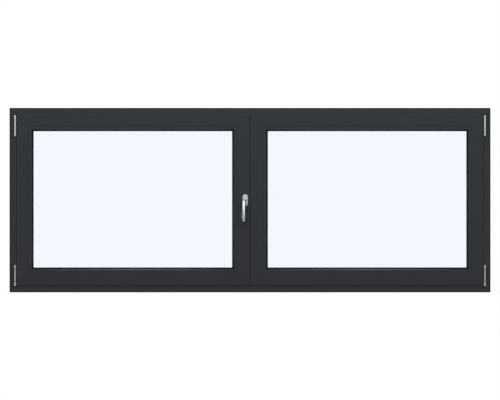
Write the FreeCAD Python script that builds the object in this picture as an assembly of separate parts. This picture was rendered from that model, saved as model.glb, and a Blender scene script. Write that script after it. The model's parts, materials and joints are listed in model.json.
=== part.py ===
import FreeCAD
import Part

import math
import os

from FreeCAD import Vector

# Two-leaf tilt and turn window, seen from the room: a welded outer frame, a left sash with the
# handle, a right sash that carries a floating mullion, sealed glass units, beads and hinges.
# X runs along the width, -Y points into the room, +Z points up.
# The origin is the middle of the frame's underside, at half the frame's depth.

# Driving dimensions, in millimetres

WINDOW_WIDTH = 2400.0
WINDOW_HEIGHT = 920.0

# Outer frame profile
FRAME_DEPTH = 76.0
LIP_REACH = 27.0
LIP_THICKNESS = 16.0
LIP_SLOPE = 4.0
BACK_GROOVE_WIDTH = 8.0
BACK_GROOVE_DEPTH = 3.0
BACK_GROOVE_OFFSET = 17.0

# Sash profile, measured from the free edge of its flap
SASH_REVEAL = 31.5
SASH_LIFT = 3.9
SASH_GAP = 1.2
FLAP_WIDTH = 20.0
FLAP_THICKNESS = 16.0
FLAP_OVERLAP = 12.0
REBATE_FLOOR = 64.0
SIGHT_LINE = 88.7
FLANGE_DROP = 2.5
FLANGE_THICKNESS = 14.0
FLANGE_SLOPE = 4.5
GEAR_GROOVE_WIDTH = 16.0
GEAR_GROOVE_DEPTH = 9.0
GEAR_GROOVE_OFFSET = 24.0

# Glass unit
PANE_THICKNESS = 4.0
PANE_CAVITY = 16.0
GLASS_CLEARANCE = 5.0
SPACER_INSET = 1.0
SPACER_HEIGHT = 11.0

# Glazing bead
BEAD_STEP = 1.0
BEAD_BEVEL_RISE = 4.5
BEAD_BEVEL_DEPTH = 13.0
BEAD_FOOT_DEPTH = 5.5
BEAD_FOOT_WIDTH = 5.0
BEAD_FOOT_OFFSET = 7.0

# Seals
SEAL_GAP = 4.0
GLAZING_GAP = 4.0
SEAL_SLOT_WIDTH = 3.0
SEAL_SLOT_DEPTH = 5.0
SEAL_SLOT_OFFSET = 5.0
SEAL_BULB_WIDTH = 7.0
SEAL_TIP_WIDTH = 4.4
BEAD_SEAL_LIP = 4.0
GLAZING_SEAL_COVER = 12.0

# Floating mullion
MULLION_END_GAP = 6.0
MULLION_CUT_BACK = 2.0
END_CAP_WALL = 3.0

# Handle
HANDLE_BACKSET = 23.4
HANDLE_DROP = 1.0
ROSETTE_WIDTH = 28.0
ROSETTE_HEIGHT = 60.5
ROSETTE_THICKNESS = 11.0
ROSETTE_ROUNDING = 3.5
ROSETTE_BASE_HEIGHT = 1.2
ROSETTE_BASE_INSET = 0.8
COLLAR_DIAMETER = 19.0
COLLAR_HEIGHT = 1.5
COLLAR_CHAMFER = 0.5
NECK_DIAMETER = 14.0
GRIP_STANDOFF = 45.0
GRIP_LENGTH = 106.5
GRIP_WIDTH = 17.0
GRIP_THICKNESS = 13.0
GRIP_BELLY_THICKNESS = 17.0
GRIP_TOP_WIDTH = 15.5
GRIP_END_WIDTH = 14.0
GRIP_BEND = 14.0
GRIP_BEND_ANGLE = 80.0
GRIP_BOW = 6.0
GRIP_CREST = 4.5
GRIP_LEAN = 7.5
GRIP_BELLY = 3.2
GRIP_TIP = 7.0
SWELL_SKEW = 1.6
GRIP_ROUNDNESS = 0.75
OVAL_POINTS = 12

# Hinges
HINGE_INSET = 28.0
HINGE_STANDOFF = 19.5
UPPER_HINGE_DIAMETER = 8.8
LOWER_HINGE_DIAMETER = 8.8
CAP_DIAMETER = 10.4
BEARING_DIAMETER = 10.6
HINGE_PIN_DIAMETER = 6.0
HINGE_PIN_LENGTH = 24.0
HINGE_WEB = 6.0
HINGE_ARM_HEIGHT = 7.0
HINGE_ARM_DEPTH = 10.5
UPPER_HINGE_DROP = 36.0
UPPER_HINGE_LENGTH = 104.0
UPPER_KNUCKLE_LENGTH = 11.5
LOWER_HINGE_RISE = 32.0
LOWER_HINGE_LENGTH = 105.0
LOWER_BEARING_LENGTH = 17.5
LOWER_CAP_LENGTH = 15.5
HINGE_SEAM = 2.4
HINGE_SEAM_DIAMETER = 7.4

# Drain covers on the outside of the sill
DRAIN_COVER_COUNT = 4
DRAIN_COVER_WIDTH = 46.0
DRAIN_COVER_HEIGHT = 14.0
DRAIN_COVER_DEPTH = 6.0
DRAIN_COVER_WALL = 1.6
DRAIN_COVER_LIFT = 14.0

# Clearances and roundings
SEAL_CLEARANCE = 0.2
SHAFT_CLEARANCE = 0.08
SEAT_CLEARANCE = 0.3
EDGE_ROUNDING = 2.0
FLAP_ROUNDING = 8.0
ARRIS = 0.8
SMALL_ROUNDING = 0.8
BEAD_ROUNDING = 2.5

# Positions that follow from the driving dimensions

FRAME_ROOM_Y = -FRAME_DEPTH / 2
FRAME_OUT_Y = FRAME_DEPTH / 2
LIP_ROOM_Y = FRAME_OUT_Y - LIP_THICKNESS
FLAP_BACK_Y = FRAME_ROOM_Y - SEAL_GAP
SASH_ROOM_Y = FLAP_BACK_Y - FLAP_THICKNESS
SASH_OUT_Y = LIP_ROOM_Y - SEAL_GAP
FLANGE_ROOM_Y = SASH_OUT_Y - FLANGE_THICKNESS
GLASS_OUT_Y = FLANGE_ROOM_Y - GLAZING_GAP
OUTER_PANE_ROOM_Y = GLASS_OUT_Y - PANE_THICKNESS
INNER_PANE_OUT_Y = OUTER_PANE_ROOM_Y - PANE_CAVITY
GLASS_ROOM_Y = INNER_PANE_OUT_Y - PANE_THICKNESS
BEAD_BACK_Y = GLASS_ROOM_Y - GLAZING_GAP
BEAD_ROOM_Y = SASH_ROOM_Y + BEAD_STEP

FRAME_BOX = SASH_REVEAL + FLAP_OVERLAP
FRAME_WIDTH = FRAME_BOX + LIP_REACH
GLASS_EDGE = REBATE_FLOOR + GLASS_CLEARANCE
BEAD_TOP = SIGHT_LINE - BEAD_SEAL_LIP
FLANGE_TOP = SIGHT_LINE - FLANGE_DROP

SASH_WIDTH = (WINDOW_WIDTH - SASH_GAP) / 2 - SASH_REVEAL
SASH_HEIGHT = WINDOW_HEIGHT - 2 * SASH_REVEAL
SASH_CENTRE_X = (SASH_WIDTH + SASH_GAP) / 2
CENTRE_Z = WINDOW_HEIGHT / 2
SASH_CENTRE_Z = CENTRE_Z + SASH_LIFT

HANDLE_X = -SASH_GAP / 2 - HANDLE_BACKSET
HINGE_X = -WINDOW_WIDTH / 2 + HINGE_INSET
HINGE_Y = FRAME_ROOM_Y - HINGE_STANDOFF

ORIGIN = Vector(0, 0, 0)
AXIS_X = Vector(1, 0, 0)
AXIS_Y = Vector(0, 1, 0)
AXIS_Z = Vector(0, 0, 1)


# Shapes that several pieces share

def rounded_face(corners):
    """Flat face in the XY plane; each corner is (a, b) or (a, b, radius)."""
    points = [Vector(corner[0], corner[1], 0) for corner in corners]
    radii = [corner[2] if len(corner) > 2 else 0.0 for corner in corners]
    arcs = []
    for index, here in enumerate(points):
        if radii[index] == 0:
            arcs.append((here, None, here))
            continue
        back = (points[index - 1] - here).normalize()
        ahead = (points[(index + 1) % len(points)] - here).normalize()
        half_angle = back.getAngle(ahead) / 2
        reach = radii[index] / math.tan(half_angle)
        middle = (back + ahead).normalize()
        centre = here + middle * (radii[index] / math.sin(half_angle))
        arcs.append((here + back * reach, centre - middle * radii[index], here + ahead * reach))
    edges = []
    for index, (start, through, end) in enumerate(arcs):
        if through is not None:
            edges.append(Part.Arc(start, through, end).toShape())
        following = arcs[(index + 1) % len(arcs)][0]
        edges.append(Part.LineSegment(end, following).toShape())
    return Part.Face(Part.Wire(edges))


def box(low, high):
    """Block between two opposite corners."""
    size = high - low
    return Part.makeBox(size.x, size.y, size.z, low)


def cylinder(radius, low, length, axis=AXIS_Z):
    return Part.makeCylinder(radius, length, low, axis)


def single(shape):
    """The one solid of a boolean result, with split faces joined again."""
    return shape.removeSplitter().Solids[0]


def mitred_bar(section, length):
    """Bar along X whose section is given as (distance from the outer edge, depth), mitred at both ends."""
    profile = section.copy()
    profile.rotate(ORIGIN, AXIS_Y, -90)
    profile.translate(Vector(-length / 2, 0, 0))
    prism = profile.extrude(Vector(length, 0, 0))
    bounds = prism.BoundBox
    reach = bounds.ZMax + EDGE_ROUNDING
    plan = Part.makePolygon([
        Vector(-length / 2, bounds.YMin - EDGE_ROUNDING, 0),
        Vector(length / 2, bounds.YMin - EDGE_ROUNDING, 0),
        Vector(length / 2 - reach, bounds.YMin - EDGE_ROUNDING, reach),
        Vector(-length / 2 + reach, bounds.YMin - EDGE_ROUNDING, reach),
        Vector(-length / 2, bounds.YMin - EDGE_ROUNDING, 0),
    ])
    mitres = Part.Face(plan).extrude(Vector(0, bounds.YLength + 2 * EDGE_ROUNDING, 0))
    return single(prism.common(mitres))


def mitred_frame(section, width, height, centre_x, centre_z):
    """The bottom, left, top and right bars of a rectangle of one profile."""
    sides = {}
    for turn, (name, length, reach) in enumerate([
        ("bottom", width, height / 2),
        ("left", height, width / 2),
        ("top", width, height / 2),
        ("right", height, width / 2),
    ]):
        bar = mitred_bar(section, length)
        bar.translate(Vector(0, 0, -reach))
        bar.rotate(ORIGIN, AXIS_Y, 90 * turn)
        bar.translate(Vector(centre_x, 0, centre_z))
        sides[name] = bar
    return sides


def ring(section, width, height, centre_x, centre_z):
    """One closed loop of a profile, such as a seal."""
    bars = list(mitred_frame(section, width, height, centre_x, centre_z).values())
    return single(bars[0].multiFuse(bars[1:]))


def seal_corners(middle, root_y, tip_y):
    """Push-in seal: a foot in its slot, and a bulb that reaches from the slot's face to its seat."""
    direction = 1 if tip_y > root_y else -1
    foot_half = SEAL_SLOT_WIDTH / 2 - SEAL_CLEARANCE
    foot_y = root_y - direction * (SEAL_SLOT_DEPTH - SEAL_CLEARANCE)
    seat_y = tip_y - direction * SEAL_CLEARANCE
    bulb_half = SEAL_BULB_WIDTH / 2
    tip_half = SEAL_TIP_WIDTH / 2
    return [
        (middle - foot_half, foot_y),
        (middle + foot_half, foot_y),
        (middle + foot_half, root_y),
        (middle + bulb_half, root_y),
        (middle + tip_half, seat_y, SMALL_ROUNDING),
        (middle - tip_half, seat_y, SMALL_ROUNDING),
        (middle - bulb_half, root_y),
        (middle - foot_half, root_y),
    ]


# Outer frame

LIP_SLOT_MIDDLE = FRAME_BOX + FLAP_WIDTH - FLAP_OVERLAP + SEAL_SLOT_OFFSET


def frame_section():
    slot_low = LIP_SLOT_MIDDLE - SEAL_SLOT_WIDTH / 2
    slot_high = LIP_SLOT_MIDDLE + SEAL_SLOT_WIDTH / 2
    slot_y = LIP_ROOM_Y + SEAL_SLOT_DEPTH
    corners = [
        (0, FRAME_ROOM_Y, ARRIS),
        (FRAME_BOX, FRAME_ROOM_Y, ARRIS),
        (FRAME_BOX, LIP_ROOM_Y),
        (slot_low, LIP_ROOM_Y),
        (slot_low, slot_y),
        (slot_high, slot_y),
        (slot_high, LIP_ROOM_Y),
        (FRAME_WIDTH, LIP_ROOM_Y, EDGE_ROUNDING),
        (FRAME_WIDTH - LIP_SLOPE, FRAME_OUT_Y, EDGE_ROUNDING),
        (0, FRAME_OUT_Y, ARRIS),
    ]
    for side in (1, -1):
        middle = side * BACK_GROOVE_OFFSET
        corners += [
            (0, middle + BACK_GROOVE_WIDTH / 2),
            (BACK_GROOVE_DEPTH, middle + BACK_GROOVE_WIDTH / 2),
            (BACK_GROOVE_DEPTH, middle - BACK_GROOVE_WIDTH / 2),
            (0, middle - BACK_GROOVE_WIDTH / 2),
        ]
    return rounded_face(corners)


def frame_parts():
    rectangle = (WINDOW_WIDTH, WINDOW_HEIGHT, 0, CENTRE_Z)
    bars = mitred_frame(frame_section(), *rectangle)
    seal = rounded_face(seal_corners(LIP_SLOT_MIDDLE, LIP_ROOM_Y, SASH_OUT_Y))
    return {
        "frame_sill": bars["bottom"],
        "frame_left_jamb": bars["left"],
        "frame_head": bars["top"],
        "frame_right_jamb": bars["right"],
        "frame_gasket": ring(seal, *rectangle),
    }


# Sashes

def sash_section():
    foot_low = BEAD_ROOM_Y + BEAD_FOOT_OFFSET - SEAL_CLEARANCE
    foot_high = BEAD_ROOM_Y + BEAD_FOOT_OFFSET + BEAD_FOOT_WIDTH + SEAL_CLEARANCE
    foot_floor = REBATE_FLOOR - BEAD_FOOT_DEPTH - SEAL_CLEARANCE
    groove_low = FLAP_BACK_Y + GEAR_GROOVE_OFFSET
    groove_floor = FLAP_WIDTH + GEAR_GROOVE_DEPTH
    slot_low = SEAL_SLOT_OFFSET - SEAL_SLOT_WIDTH / 2
    slot_high = SEAL_SLOT_OFFSET + SEAL_SLOT_WIDTH / 2
    slot_y = FLAP_BACK_Y - SEAL_SLOT_DEPTH
    return rounded_face([
        (0, SASH_ROOM_Y, FLAP_ROUNDING),
        (REBATE_FLOOR, SASH_ROOM_Y, SMALL_ROUNDING),
        (REBATE_FLOOR, foot_low),
        (foot_floor, foot_low),
        (foot_floor, foot_high),
        (REBATE_FLOOR, foot_high),
        (REBATE_FLOOR, FLANGE_ROOM_Y),
        (FLANGE_TOP, FLANGE_ROOM_Y, SMALL_ROUNDING),
        (FLANGE_TOP - FLANGE_SLOPE, SASH_OUT_Y, EDGE_ROUNDING),
        (FLAP_WIDTH, SASH_OUT_Y, SMALL_ROUNDING),
        (FLAP_WIDTH, groove_low + GEAR_GROOVE_WIDTH),
        (groove_floor, groove_low + GEAR_GROOVE_WIDTH),
        (groove_floor, groove_low),
        (FLAP_WIDTH, groove_low),
        (FLAP_WIDTH, FLAP_BACK_Y),
        (slot_high, FLAP_BACK_Y),
        (slot_high, slot_y),
        (slot_low, slot_y),
        (slot_low, FLAP_BACK_Y),
        (0, FLAP_BACK_Y, SMALL_ROUNDING),
    ])


def bead_section():
    foot_low = BEAD_ROOM_Y + BEAD_FOOT_OFFSET
    foot_high = foot_low + BEAD_FOOT_WIDTH
    return rounded_face([
        (REBATE_FLOOR, BEAD_ROOM_Y, SMALL_ROUNDING),
        (BEAD_TOP - BEAD_BEVEL_RISE, BEAD_ROOM_Y, BEAD_ROUNDING),
        (BEAD_TOP, BEAD_ROOM_Y + BEAD_BEVEL_DEPTH, EDGE_ROUNDING),
        (BEAD_TOP, BEAD_BACK_Y),
        (REBATE_FLOOR, BEAD_BACK_Y),
        (REBATE_FLOOR, foot_high),
        (REBATE_FLOOR - BEAD_FOOT_DEPTH, foot_high),
        (REBATE_FLOOR - BEAD_FOOT_DEPTH, foot_low),
        (REBATE_FLOOR, foot_low),
    ])


def bead_seal_section():
    """Wedge seal on the room side of the glass; its lip is the dark line round the pane."""
    return rounded_face([
        (SIGHT_LINE - GLAZING_SEAL_COVER, BEAD_BACK_Y),
        (BEAD_TOP, BEAD_BACK_Y),
        (BEAD_TOP + BEAD_SEAL_LIP / 3, BEAD_BACK_Y, SMALL_ROUNDING),
        (SIGHT_LINE, GLASS_ROOM_Y - GLAZING_GAP / 4, SMALL_ROUNDING / 2),
        (SIGHT_LINE, GLASS_ROOM_Y),
        (SIGHT_LINE - GLAZING_SEAL_COVER, GLASS_ROOM_Y),
    ])


def outer_seal_section():
    return rounded_face([
        (SIGHT_LINE - GLAZING_SEAL_COVER, GLASS_OUT_Y),
        (FLANGE_TOP + GLAZING_GAP / 4, GLASS_OUT_Y),
        (FLANGE_TOP + GLAZING_GAP / 4, GLASS_OUT_Y + GLAZING_GAP / 4, SMALL_ROUNDING / 2),
        (FLANGE_TOP - SMALL_ROUNDING, FLANGE_ROOM_Y),
        (SIGHT_LINE - GLAZING_SEAL_COVER, FLANGE_ROOM_Y),
    ])


def pane(centre_x, room_y):
    half_width = SASH_WIDTH / 2 - GLASS_EDGE
    half_height = SASH_HEIGHT / 2 - GLASS_EDGE
    return box(
        Vector(centre_x - half_width, room_y, SASH_CENTRE_Z - half_height),
        Vector(centre_x + half_width, room_y + PANE_THICKNESS, SASH_CENTRE_Z + half_height),
    )


def spacer_section():
    """Spacer bar with its edge sealant, between the two panes."""
    edge = GLASS_EDGE + SPACER_INSET
    return rounded_face([
        (edge, INNER_PANE_OUT_Y),
        (edge + SPACER_HEIGHT, INNER_PANE_OUT_Y),
        (edge + SPACER_HEIGHT, OUTER_PANE_ROOM_Y),
        (edge, OUTER_PANE_ROOM_Y),
    ])


def sash_parts(side, centre_x, side_names):
    """Rails, stiles, beads, glass and seals of one sash; side_names says what its left and right are."""
    rectangle = (SASH_WIDTH, SASH_HEIGHT, centre_x, SASH_CENTRE_Z)
    rails = mitred_frame(sash_section(), *rectangle)
    beads = mitred_frame(bead_section(), *rectangle)
    flap_seal = rounded_face(seal_corners(SEAL_SLOT_OFFSET, FLAP_BACK_Y, FRAME_ROOM_Y))
    parts = {
        side + "_sash_bottom_rail": rails["bottom"],
        side + "_sash_top_rail": rails["top"],
        side + "_sash_bottom_bead": beads["bottom"],
        side + "_sash_top_bead": beads["top"],
        side + "_inner_pane": pane(centre_x, GLASS_ROOM_Y),
        side + "_outer_pane": pane(centre_x, OUTER_PANE_ROOM_Y),
        side + "_glass_spacer": ring(spacer_section(), *rectangle),
        side + "_glazing_gaskets": Part.makeCompound([
            ring(bead_seal_section(), *rectangle),
            ring(outer_seal_section(), *rectangle),
        ]),
        side + "_sash_gasket": ring(flap_seal, *rectangle),
    }
    for place, stile in side_names.items():
        parts[side + "_sash_" + stile + "_stile"] = rails[place]
        parts[side + "_sash_" + stile + "_bead"] = beads[place]
    return parts


# Floating mullion on the right sash, which closes the joint between the two sashes

MULLION_LEFT = -SASH_GAP / 2 - FLAP_OVERLAP
MULLION_RIGHT = SASH_GAP / 2 + FLAP_WIDTH
MULLION_COVER = LIP_REACH - MULLION_LEFT
MULLION_SLOT_MIDDLE = -SASH_GAP / 2 - FLAP_WIDTH - SEAL_SLOT_OFFSET
MULLION_LOW = FRAME_BOX + MULLION_END_GAP
COVER_LOW = FRAME_WIDTH + MULLION_CUT_BACK


def mullion_section():
    slot_low = MULLION_SLOT_MIDDLE - SEAL_SLOT_WIDTH / 2
    slot_high = MULLION_SLOT_MIDDLE + SEAL_SLOT_WIDTH / 2
    slot_y = LIP_ROOM_Y + SEAL_SLOT_DEPTH
    return rounded_face([
        (MULLION_RIGHT, FRAME_ROOM_Y),
        (MULLION_LEFT, FRAME_ROOM_Y, SMALL_ROUNDING),
        (MULLION_LEFT, LIP_ROOM_Y),
        (slot_high, LIP_ROOM_Y),
        (slot_high, slot_y),
        (slot_low, slot_y),
        (slot_low, LIP_ROOM_Y),
        (-MULLION_COVER, LIP_ROOM_Y, EDGE_ROUNDING),
        (-MULLION_COVER + LIP_SLOPE, FRAME_OUT_Y, EDGE_ROUNDING),
        (MULLION_COVER - LIP_SLOPE, FRAME_OUT_Y, EDGE_ROUNDING),
        (MULLION_COVER, SASH_OUT_Y, SMALL_ROUNDING),
        (MULLION_RIGHT, SASH_OUT_Y),
    ])


def upright(section, low, high):
    """Vertical bar of a section that is drawn in plan."""
    bar = section.extrude(Vector(0, 0, high - low))
    bar.translate(Vector(0, 0, low))
    return bar


def mullion_end_cap():
    """Plug under the lower end of the mullion, with a wall up behind the frame's lip."""
    low = FRAME_BOX + SEAT_CLEARANCE
    plug = box(
        Vector(MULLION_LEFT, FRAME_ROOM_Y + EDGE_ROUNDING, low),
        Vector(MULLION_RIGHT, SASH_OUT_Y - END_CAP_WALL, MULLION_LOW),
    )
    hollow = box(
        Vector(MULLION_LEFT + END_CAP_WALL, FRAME_ROOM_Y + EDGE_ROUNDING + END_CAP_WALL, low),
        Vector(MULLION_RIGHT - END_CAP_WALL, SASH_OUT_Y - 2 * END_CAP_WALL, MULLION_LOW - END_CAP_WALL),
    )
    return single(plug.cut(hollow))


def mullion_parts():
    high = WINDOW_HEIGHT - MULLION_LOW
    bar = upright(mullion_section(), MULLION_LOW, high)
    for low_z, high_z in ((0, COVER_LOW), (WINDOW_HEIGHT - COVER_LOW, WINDOW_HEIGHT)):
        bar = bar.cut(box(
            Vector(-MULLION_COVER, SASH_OUT_Y, low_z),
            Vector(MULLION_COVER, FRAME_OUT_Y, high_z),
        ))
    seal = rounded_face(seal_corners(MULLION_SLOT_MIDDLE, LIP_ROOM_Y, SASH_OUT_Y))
    lower_cap = mullion_end_cap()
    upper_cap = lower_cap.mirror(Vector(0, 0, CENTRE_Z), AXIS_Z)
    return {
        "floating_mullion": single(bar),
        "floating_mullion_gasket": upright(seal, COVER_LOW, WINDOW_HEIGHT - COVER_LOW),
        "floating_mullion_end_caps": Part.makeCompound([lower_cap, upper_cap]),
    }


# Handle, modelled round its spindle and then set on the left sash

def oval_plate(width, height, low, high):
    """Plate with fully rounded ends, built up from the sash's face along Z."""
    straight = (height - width) / 2
    radius = width / 2
    ends = []
    for side in (1, -1):
        ends.append(Part.Arc(
            Vector(side * radius, side * straight, low),
            Vector(0, side * (straight + radius), low),
            Vector(-side * radius, side * straight, low),
        ).toShape())
    sides = [
        Part.LineSegment(Vector(-radius, straight, low), Vector(-radius, -straight, low)).toShape(),
        Part.LineSegment(Vector(radius, -straight, low), Vector(radius, straight, low)).toShape(),
    ]
    outline = Part.Wire([ends[0], sides[0], ends[1], sides[1]])
    return Part.Face(outline).extrude(Vector(0, 0, high - low))


def rosette():
    """Rounded cover on a slightly smaller base, bored for the lever's collar."""
    cover = oval_plate(ROSETTE_WIDTH, ROSETTE_HEIGHT, ROSETTE_BASE_HEIGHT, ROSETTE_THICKNESS)
    front = [e for e in cover.Edges if e.BoundBox.ZMin > ROSETTE_THICKNESS - SMALL_ROUNDING]
    cover = cover.makeFillet(ROSETTE_ROUNDING, front)
    inset = 2 * ROSETTE_BASE_INSET
    base = oval_plate(ROSETTE_WIDTH - inset, ROSETTE_HEIGHT - inset, 0, ROSETTE_BASE_HEIGHT)
    bore = cylinder(COLLAR_DIAMETER / 2 + SHAFT_CLEARANCE, ORIGIN, ROSETTE_THICKNESS)
    plate = single(cover.fuse(base).cut(bore))
    plate.rotate(ORIGIN, AXIS_X, 90)
    return plate


def flattened(share, roundness):
    """Sine or cosine of a round outline, drawn out towards a square one where the roundness is under 1."""
    return math.copysign(abs(share) ** roundness, share)


def lever_station(offset, depth, drop, pitch, width, thickness, crest=0.0, roundness=1.0):
    """Oval across the lever; pitch turns it from facing the room, at 0, to facing down, at 90 degrees.

    The crest is how far the oval's room side leans away from the hinge side.
    """
    tilt = math.radians(pitch)
    through = Vector(0, -math.sin(tilt), math.cos(tilt))
    centre = Vector(offset, -depth, -drop)
    points = []
    for index in range(OVAL_POINTS):
        turn = 2 * math.pi * index / OVAL_POINTS
        sideways = flattened(math.cos(turn), roundness)
        outwards = flattened(math.sin(turn), roundness)
        across = AXIS_X * (sideways * width / 2 + outwards * crest)
        points.append(centre + across + through * (outwards * thickness / 2))
    oval = Part.BSplineCurve()
    oval.interpolate(points, PeriodicFlag=True)
    return Part.Wire(oval.toShape())


def lever():
    """Collar in the rosette, a neck that leans to the hinge side, a bend and a bowed grip."""
    collar_top = ROSETTE_THICKNESS + COLLAR_HEIGHT
    neck_end = GRIP_STANDOFF - GRIP_BEND
    neck_middle = (collar_top + neck_end) / 2
    stations = [
        lever_station(0, collar_top - 2 * COLLAR_HEIGHT, 0, 0, NECK_DIAMETER, NECK_DIAMETER),
        lever_station(0, collar_top, 0, 0, NECK_DIAMETER, NECK_DIAMETER),
        lever_station(-GRIP_LEAN / 2, neck_middle, 0, 0, GRIP_TOP_WIDTH, NECK_DIAMETER),
    ]
    bend_steps = 3
    for step in range(bend_steps + 1):
        pitch = GRIP_BEND_ANGLE * step / bend_steps
        grip_depth = neck_end + GRIP_BEND * math.sin(math.radians(pitch))
        grip_drop = GRIP_BEND * (1 - math.cos(math.radians(pitch)))
        stations.append(
            lever_station(
                -GRIP_LEAN, grip_depth, grip_drop, pitch, GRIP_TOP_WIDTH, GRIP_THICKNESS,
                roundness=1 - (1 - GRIP_ROUNDNESS) * step / bend_steps,
            )
        )
    run = GRIP_LENGTH - GRIP_TIP - grip_drop
    grip_steps = 6
    for step in range(1, grip_steps + 1):
        share = step / grip_steps
        swell = math.sin(math.pi * share ** SWELL_SKEW)
        end_width = GRIP_TOP_WIDTH + (GRIP_END_WIDTH - GRIP_TOP_WIDTH) * share
        stations.append(lever_station(
            -GRIP_LEAN - GRIP_BELLY * swell,
            grip_depth + GRIP_BOW * math.sin(math.pi * share),
            grip_drop + run * share,
            GRIP_BEND_ANGLE + 2 * (90 - GRIP_BEND_ANGLE) * share,
            end_width + (GRIP_WIDTH - end_width) * swell,
            GRIP_THICKNESS + (GRIP_BELLY_THICKNESS - GRIP_THICKNESS) * swell,
            GRIP_CREST * swell,
            GRIP_ROUNDNESS,
        ))
    slope = 1 / math.tan(math.radians(GRIP_BEND_ANGLE))
    for share in (0.45, 0.75, 0.92, 0.99):
        shrink = math.sqrt(1 - share ** 2)
        stations.append(lever_station(
            -GRIP_LEAN,
            grip_depth - GRIP_TIP * share * slope,
            GRIP_LENGTH - GRIP_TIP * (1 - share),
            180 - GRIP_BEND_ANGLE,
            GRIP_END_WIDTH * shrink,
            GRIP_THICKNESS * shrink,
            roundness=GRIP_ROUNDNESS,
        ))
    grip = Part.makeLoft(stations, True, False)
    collar_foot = Vector(0, -SEAT_CLEARANCE, 0)
    collar = cylinder(COLLAR_DIAMETER / 2, collar_foot, collar_top - SEAT_CLEARANCE, -AXIS_Y)
    rim = [e for e in collar.Edges if e.BoundBox.YMax < SMALL_ROUNDING - collar_top]
    collar = collar.makeChamfer(COLLAR_CHAMFER, rim)
    return single(collar.fuse(grip))


def handle_parts():
    parts = {"handle_rosette": rosette(), "handle_lever": lever()}
    for shape in parts.values():
        shape.translate(Vector(HANDLE_X, SASH_ROOM_Y, CENTRE_Z - HANDLE_DROP))
    return parts


# Hinges, modelled on the left and mirrored to the right

def barrel(radius, low, length):
    """Round hinge barrel on the hinge axis with softened ends."""
    shape = cylinder(radius, Vector(HINGE_X, HINGE_Y, low), length)
    ends = [e for e in shape.Edges if e.BoundBox.ZLength < SMALL_ROUNDING and len(e.Vertexes) == 1]
    return shape.makeFillet(SMALL_ROUNDING, ends)


def seam(low, length):
    """Narrower neck that shows as a dark ring between two barrels."""
    overlap = SMALL_ROUNDING
    return cylinder(HINGE_SEAM_DIAMETER / 2, Vector(HINGE_X, HINGE_Y, low - overlap), length + overlap)


def frame_web(low, high):
    """Web that carries a barrel on the room face of the frame."""
    return box(
        Vector(HINGE_X - HINGE_WEB / 2, HINGE_Y, low),
        Vector(HINGE_X + HINGE_WEB / 2, FRAME_ROOM_Y, high),
    )


def sash_arm(low):
    """Short arm from the back of a barrel to the edge of the sash's flap."""
    return box(
        Vector(HINGE_X, HINGE_Y, low),
        Vector(-WINDOW_WIDTH / 2 + SASH_REVEAL, HINGE_Y + HINGE_ARM_DEPTH, low + HINGE_ARM_HEIGHT),
    )


def left_hinges():
    upper_radius = UPPER_HINGE_DIAMETER / 2
    axis_point = Vector(HINGE_X, HINGE_Y, 0)
    pin_radius = HINGE_PIN_DIAMETER / 2
    bore_radius = pin_radius + SHAFT_CLEARANCE
    collar_length = HINGE_SEAM - SEAT_CLEARANCE

    upper_top = WINDOW_HEIGHT - UPPER_HINGE_DROP
    upper_low = upper_top - UPPER_HINGE_LENGTH
    knuckle_low = upper_top - UPPER_KNUCKLE_LENGTH
    bearing_top = knuckle_low - HINGE_SEAM
    pin_low = knuckle_low - HINGE_PIN_LENGTH
    upper_bearing = barrel(upper_radius, upper_low, bearing_top - upper_low)
    upper_web = frame_web(upper_low + upper_radius, bearing_top - upper_radius)
    upper_bearing = upper_bearing.fuse([upper_web, seam(bearing_top, collar_length)])
    upper_pin = cylinder(pin_radius, axis_point + AXIS_Z * pin_low, HINGE_PIN_LENGTH)
    upper_socket = cylinder(
        bore_radius, axis_point + AXIS_Z * (pin_low - SEAT_CLEARANCE), HINGE_PIN_LENGTH + SEAT_CLEARANCE
    )
    upper_knuckle = barrel(upper_radius, knuckle_low, UPPER_KNUCKLE_LENGTH)
    upper_knuckle = upper_knuckle.fuse([upper_pin, sash_arm(knuckle_low + SMALL_ROUNDING)])

    lower_bearing_top = LOWER_HINGE_RISE + LOWER_BEARING_LENGTH
    sleeve_low = lower_bearing_top + HINGE_SEAM
    cap_top = LOWER_HINGE_RISE + LOWER_HINGE_LENGTH
    cap_low = cap_top - LOWER_CAP_LENGTH
    sleeve_top = cap_low - HINGE_SEAM
    lower_bearing = barrel(BEARING_DIAMETER / 2, LOWER_HINGE_RISE, LOWER_BEARING_LENGTH)
    lower_web = frame_web(LOWER_HINGE_RISE + SMALL_ROUNDING, lower_bearing_top - SMALL_ROUNDING)
    pin_foot = axis_point + AXIS_Z * (lower_bearing_top - SMALL_ROUNDING)
    lower_pin = cylinder(pin_radius, pin_foot, HINGE_PIN_LENGTH + SMALL_ROUNDING)
    lower_socket = cylinder(bore_radius, axis_point + AXIS_Z * sleeve_low, HINGE_PIN_LENGTH)
    lower_sleeve = barrel(LOWER_HINGE_DIAMETER / 2, sleeve_low, sleeve_top - sleeve_low)
    lower_sleeve = lower_sleeve.fuse([
        barrel(CAP_DIAMETER / 2, cap_low, LOWER_CAP_LENGTH),
        seam(sleeve_top, HINGE_SEAM + SMALL_ROUNDING),
        sash_arm(sleeve_low + SMALL_ROUNDING),
    ])
    return {
        "upper_hinge_bearing": single(upper_bearing.cut(upper_socket)),
        "upper_hinge_knuckle": single(upper_knuckle),
        "lower_hinge_bearing": single(
            lower_bearing.fuse([lower_web, seam(lower_bearing_top, collar_length), lower_pin])
        ),
        "lower_hinge_sleeve": single(lower_sleeve.cut(lower_socket)),
    }


def hinge_parts():
    parts = {}
    for name, shape in left_hinges().items():
        parts["left_" + name] = shape
        parts["right_" + name] = shape.mirror(ORIGIN, AXIS_X)
    return parts


# Drain covers

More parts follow.
